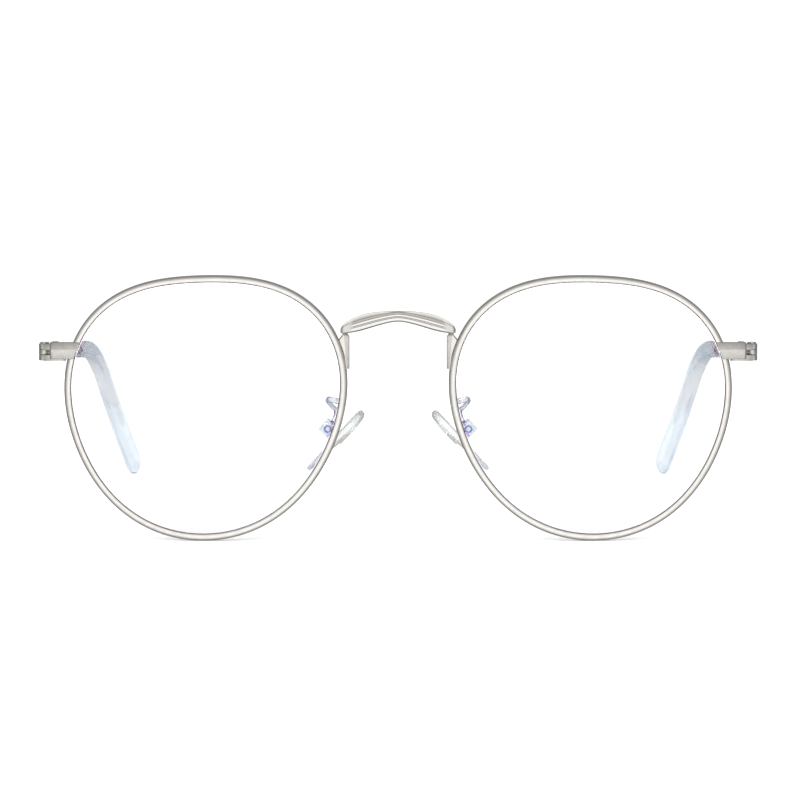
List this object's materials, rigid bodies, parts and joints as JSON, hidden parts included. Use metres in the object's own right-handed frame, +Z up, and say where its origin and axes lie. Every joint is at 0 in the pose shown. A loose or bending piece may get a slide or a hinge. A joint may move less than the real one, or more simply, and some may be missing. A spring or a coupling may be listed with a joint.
{
  "type": "eyeglasses",
  "caption": "Round wire eyeglasses with clear lenses, an arched metal bridge, hinged wire temples with translucent tips, and nose pads on curved arms.",
  "frame": {"origin": "middle of the footprint, on the surface that the open glasses stand on", "axes": "+Z up, the front faces -Y, the temples run to +Y, +X is the wearer's left"},
  "size_m": [0.1386, 0.1464, 0.0505],
  "materials": {
    "metal": "polished nickel silver wire and sheet, pale and slightly warm",
    "screw": "bright turned steel screws",
    "lens": "clear polished lens with a faint blue-violet coating",
    "tip": "translucent pale blue-grey acetate, tumbled to a soft gloss",
    "pad": "translucent clear silicone, smooth"
  },
  "bodies": {
    "front": {"bridge": "metal", "bridge_leg_left": "metal", "bridge_leg_right": "metal", "rim_left": "metal", "rim_right": "metal", "lens_left": "lens", "lens_right": "lens", "endpiece_left": "metal", "endpiece_right": "metal", "rim_lock_upper_left": "metal", "rim_lock_upper_right": "metal", "rim_lock_lower_left": "metal", "rim_lock_lower_right": "metal", "rim_lock_screw_left": "screw", "rim_lock_screw_right": "screw", "hinge_front_left": "metal", "hinge_front_right": "metal", "hinge_screw_left": "screw", "hinge_screw_right": "screw", "pad_arm_left": "metal", "pad_arm_right": "metal", "pad_box_left": "metal", "pad_box_right": "metal", "pad_screw_left": "screw", "pad_screw_right": "screw"},
    "temple_left": {"hinge_temple_left": "metal", "temple_left": "metal", "temple_tip_left": "tip"},
    "temple_right": {"hinge_temple_right": "metal", "temple_right": "metal", "temple_tip_right": "tip"},
    "pad_left": {"pad_insert_left": "metal", "nose_pad_left": "pad"},
    "pad_right": {"pad_insert_right": "metal", "nose_pad_right": "pad"}
  },
  "joints": [
    {"name": "temple_left_fold", "type": "hinge", "parent": "front", "child": "temple_left", "pos_m": [0.06768, -0.06163, 0.03551], "axis": [0, 0, 1], "range_deg": [0, 88]},
    {"name": "temple_right_fold", "type": "hinge", "parent": "front", "child": "temple_right", "pos_m": [-0.06768, -0.06163, 0.03551], "axis": [0, 0, -1], "range_deg": [0, 84]},
    {"name": "pad_left_rock", "type": "hinge", "parent": "front", "child": "pad_left", "pos_m": [0.01344, -0.06345, 0.02101], "axis": [-0.0523, 0.9986, 0], "range_deg": [-7, 7]},
    {"name": "pad_right_rock", "type": "hinge", "parent": "front", "child": "pad_right", "pos_m": [-0.01344, -0.06345, 0.02101], "axis": [0.0523, 0.9986, 0], "range_deg": [-7, 7]}
  ]
}
